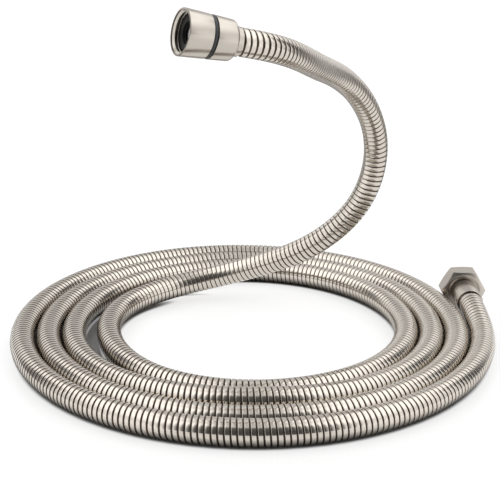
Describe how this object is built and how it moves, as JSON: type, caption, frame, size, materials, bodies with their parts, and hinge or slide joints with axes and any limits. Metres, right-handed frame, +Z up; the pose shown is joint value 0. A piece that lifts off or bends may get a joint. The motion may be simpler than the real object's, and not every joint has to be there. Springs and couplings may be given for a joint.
{
  "type": "shower hose",
  "caption": "Flexible strip-wound steel shower hose with a rubber water tube, a hexagon swivel nut on one end and a round swivel nut on the other, lying in a coil.",
  "frame": {"origin": "middle of the part's footprint, on the surface that the coil lies on", "axes": "+X along the coil's widest line, towards the side with the hexagon nut; +Y towards the rear, where the hexagon nut's mouth points; +Z up"},
  "size_m": [0.28, 0.27, 0.2028],
  "materials": {
    "brushed_nickel": "brushed nickel, satin",
    "grey_rubber": "matt",
    "black_rubber": "matt",
    "brass": "turned",
    "white_plastic": "moulded",
    "dark_plastic": "satin"
  },
  "bodies": {
    "hose": {"steel_hose": "brushed_nickel", "inner_tube": "grey_rubber", "hex_spigot": "brass", "hex_thrust_ring": "white_plastic", "hex_washer": "black_rubber", "hex_o_ring": "black_rubber", "hex_clamp_ring": "brass", "hex_ferrule": "brushed_nickel", "grip_ring": "dark_plastic", "rear_sleeve": "brushed_nickel", "round_spigot": "brass", "round_thrust_ring": "white_plastic", "round_washer": "black_rubber", "round_o_ring": "black_rubber", "round_clamp_ring": "brass", "round_ferrule": "brushed_nickel"},
    "hex_nut": {"hex_nut": "brushed_nickel"},
    "round_nut": {"round_nut": "brushed_nickel"}
  },
  "joints": [
    {"name": "hex_nut_spin", "type": "hinge", "parent": "hose", "child": "hex_nut", "pos_m": [0.1259, 0.05639, 0.012], "axis": [-0.0436, 0.999, 0], "continuous": true},
    {"name": "round_nut_spin", "type": "hinge", "parent": "hose", "child": "round_nut", "pos_m": [-0.03319, -0.08446, 0.19034], "axis": [-0.8798, -0.4229, 0.217], "continuous": true}
  ]
}
